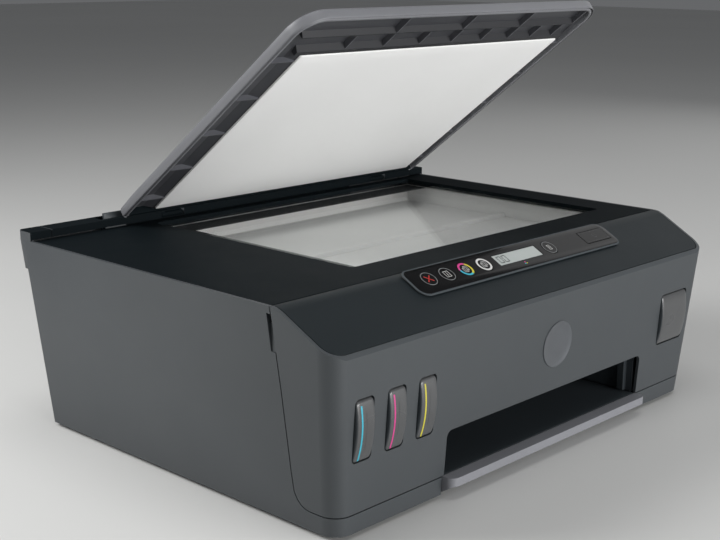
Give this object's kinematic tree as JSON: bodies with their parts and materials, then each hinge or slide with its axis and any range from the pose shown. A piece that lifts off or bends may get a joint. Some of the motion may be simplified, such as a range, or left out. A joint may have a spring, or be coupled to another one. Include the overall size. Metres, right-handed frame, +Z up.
{
  "type": "inkjet printer",
  "caption": "All-in-one inkjet printer with refillable tanks, its flatbed scanner lid held open, a drop-down front door, output tray and top paper feed.",
  "frame": {"origin": "middle of the case's footprint, on the surface that the rubber feet stand on", "axes": "+X to the right along the width as seen from the front, +Y to the back, +Z up; the front door faces -Y"},
  "size_m": [0.447, 0.3326, 0.3243],
  "materials": {
    "body_grey": "fine-textured moulded shell",
    "dark_top": "fine satin texture",
    "fascia": "satin",
    "lid_grey": "fine-textured moulded shell",
    "lid_white": "smooth white sheet on foam",
    "bay_grey": "satin",
    "tub_light": "matt light-grey moulding",
    "tray_grey": "satin",
    "inner_black": "matt",
    "gloss_black": "glossy film",
    "smoke_lens": "glossy smoke-grey window",
    "platen_glass": "clear",
    "lcd": "display window",
    "rubber": "matt",
    "steel": "plated",
    "board_green": "circuit board",
    "latch_blue": "satin",
    "gear_white": "acetal",
    "ink_cyan": "translucent, ink behind",
    "ink_magenta": "translucent, ink behind",
    "ink_yellow": "translucent, ink behind",
    "ink_black": "translucent, ink behind"
  },
  "bodies": {
    "printer_body": {"base_pan": "inner_black", "left_side_cover": "body_grey", "right_side_cover": "body_grey", "rear_cover": "body_grey", "top_cover": "dark_top", "scanner_tub": "tub_light", "platen_glass": "platen_glass", "output_tray": "bay_grey", "output_bay": "bay_grey", "print_platen": "inner_black", "carriage_rail": "steel", "drive_belt": "rubber", "carriage_motor": "steel", "feed_motor": "steel", "service_station": "inner_black", "main_board": "board_green", "power_supply": "inner_black", "usb_port": "steel", "ink_tank_cyan": "ink_cyan", "ink_tank_magenta": "ink_magenta", "ink_tank_yellow": "ink_yellow", "ink_tank_black": "ink_black", "rubber_foot_front_left": "rubber", "rubber_foot_front_right": "rubber", "rubber_foot_rear_left": "rubber", "rubber_foot_rear_right": "rubber"},
    "front_door": {"front_door": "body_grey", "control_fascia": "fascia", "panel_bezel": "gloss_black", "lcd_display": "lcd", "tank_window_cyan": "smoke_lens", "tank_window_magenta": "smoke_lens", "tank_window_yellow": "smoke_lens", "tank_window_black": "smoke_lens"},
    "lid": {"lid_shell": "lid_grey", "lid_pad": "lid_white", "lid_hinge_left": "dark_top", "lid_hinge_right": "dark_top"},
    "scan_bar": {"scan_bar": "dark_top"},
    "tray_extender": {"tray_extender": "tray_grey"},
    "input_tray": {"input_tray": "dark_top"},
    "input_tray_extension": {"input_tray_extension": "dark_top"},
    "paper_width_guide": {"paper_width_guide": "lid_grey"},
    "carriage": {"carriage": "inner_black", "printhead_color": "inner_black", "printhead_black": "inner_black"},
    "printhead_latch": {"printhead_latch": "latch_blue"},
    "feed_roller": {"feed_roller": "rubber"},
    "idler_gear": {"idler_gear": "gear_white"},
    "output_roller": {"output_roller": "rubber"},
    "tank_cap_cyan": {"tank_cap_cyan": "ink_cyan"},
    "tank_cap_magenta": {"tank_cap_magenta": "ink_magenta"},
    "tank_cap_yellow": {"tank_cap_yellow": "ink_yellow"},
    "tank_cap_black": {"tank_cap_black": "ink_black"},
    "cancel_button": {"cancel_button": "gloss_black"},
    "info_button": {"info_button": "gloss_black"},
    "color_copy_button": {"color_copy_button": "gloss_black"},
    "mono_copy_button": {"mono_copy_button": "gloss_black"},
    "resume_button": {"resume_button": "gloss_black"},
    "power_button": {"power_button": "gloss_black"}
  },
  "joints": [
    {"name": "lid_hinge", "type": "hinge", "parent": "printer_body", "child": "lid", "pos_m": [0.033, 0.152, 0.1523], "axis": [-1, 0, 0], "range_deg": [-37.6, 30]},
    {"name": "front_door_hinge", "type": "hinge", "parent": "printer_body", "child": "front_door", "pos_m": [0, -0.1556, 0.0182], "axis": [1, 0, 0], "range_deg": [0, 60]},
    {"name": "scan_bar_slide", "type": "slide", "parent": "printer_body", "child": "scan_bar", "axis": [1, 0, 0], "range_m": [0, 0.278]},
    {"name": "tray_extender_slide", "type": "slide", "parent": "printer_body", "child": "tray_extender", "axis": [0, -1, 0], "range_m": [0, 0.12]},
    {"name": "input_tray_slide", "type": "slide", "parent": "printer_body", "child": "input_tray", "axis": [0, 0.2079, 0.9781], "range_m": [0, 0.08]},
    {"name": "input_tray_extension_slide", "type": "slide", "parent": "input_tray", "child": "input_tray_extension", "axis": [0, 0.2079, 0.9781], "range_m": [0, 0.075]},
    {"name": "paper_width_guide_slide", "type": "slide", "parent": "printer_body", "child": "paper_width_guide", "axis": [1, 0, 0], "range_m": [0, 0.1]},
    {"name": "carriage_slide", "type": "slide", "parent": "printer_body", "child": "carriage", "axis": [1, 0, 0], "range_m": [-0.12, 0.12]},
    {"name": "printhead_latch_hinge", "type": "hinge", "parent": "carriage", "child": "printhead_latch", "pos_m": [0.02, 0.055, 0.1045], "axis": [-1, 0, 0], "range_deg": [0, 14]},
    {"name": "feed_roller_spin", "type": "hinge", "parent": "printer_body", "child": "feed_roller", "pos_m": [0, 0.062, 0.047], "axis": [1, 0, 0], "continuous": true},
    {"name": "idler_gear_spin", "type": "hinge", "parent": "printer_body", "child": "idler_gear", "pos_m": [-0.147, 0.03252, 0.04595], "axis": [1, 0, 0], "continuous": true},
    {"name": "output_roller_spin", "type": "hinge", "parent": "printer_body", "child": "output_roller", "pos_m": [0, 0.006, 0.045], "axis": [1, 0, 0], "continuous": true},
    {"name": "tank_cap_cyan_hinge", "type": "hinge", "parent": "printer_body", "child": "tank_cap_cyan", "pos_m": [-0.1902, -0.1226, 0.094], "axis": [-1, 0, 0], "range_deg": [0, 100]},
    {"name": "tank_cap_magenta_hinge", "type": "hinge", "parent": "printer_body", "child": "tank_cap_magenta", "pos_m": [-0.1605, -0.1226, 0.094], "axis": [-1, 0, 0], "range_deg": [0, 100]},
    {"name": "tank_cap_yellow_hinge", "type": "hinge", "parent": "printer_body", "child": "tank_cap_yellow", "pos_m": [-0.131, -0.1226, 0.094], "axis": [-1, 0, 0], "range_deg": [0, 100]},
    {"name": "tank_cap_black_hinge", "type": "hinge", "parent": "printer_body", "child": "tank_cap_black", "pos_m": [0.1788, -0.1226, 0.094], "axis": [-1, 0, 0], "range_deg": [0, 100]},
    {"name": "cancel_button_press", "type": "slide", "parent": "front_door", "child": "cancel_button", "axis": [0, 0.4782, -0.8783], "range_m": [0, 0.0008], "stiffness_N_per_m": 400, "springref_m": -0.0008},
    {"name": "info_button_press", "type": "slide", "parent": "front_door", "child": "info_button", "axis": [0, 0.4782, -0.8783], "range_m": [0, 0.0008], "stiffness_N_per_m": 400, "springref_m": -0.0008},
    {"name": "color_copy_button_press", "type": "slide", "parent": "front_door", "child": "color_copy_button", "axis": [0, 0.4782, -0.8783], "range_m": [0, 0.0008], "stiffness_N_per_m": 400, "springref_m": -0.0008},
    {"name": "mono_copy_button_press", "type": "slide", "parent": "front_door", "child": "mono_copy_button", "axis": [0, 0.4782, -0.8783], "range_m": [0, 0.0008], "stiffness_N_per_m": 400, "springref_m": -0.0008},
    {"name": "resume_button_press", "type": "slide", "parent": "front_door", "child": "resume_button", "axis": [0, 0.4782, -0.8783], "range_m": [0, 0.0008], "stiffness_N_per_m": 400, "springref_m": -0.0008},
    {"name": "power_button_press", "type": "slide", "parent": "front_door", "child": "power_button", "axis": [0, 0.4782, -0.8783], "range_m": [0, 0.0008], "stiffness_N_per_m": 400, "springref_m": -0.0008}
  ],
  "couplings": [
    {"joint": "idler_gear_spin", "follows": "feed_roller_spin", "ratio": -0.40476},
    {"joint": "output_roller_spin", "follows": "feed_roller_spin", "ratio": 1.5455}
  ]
}
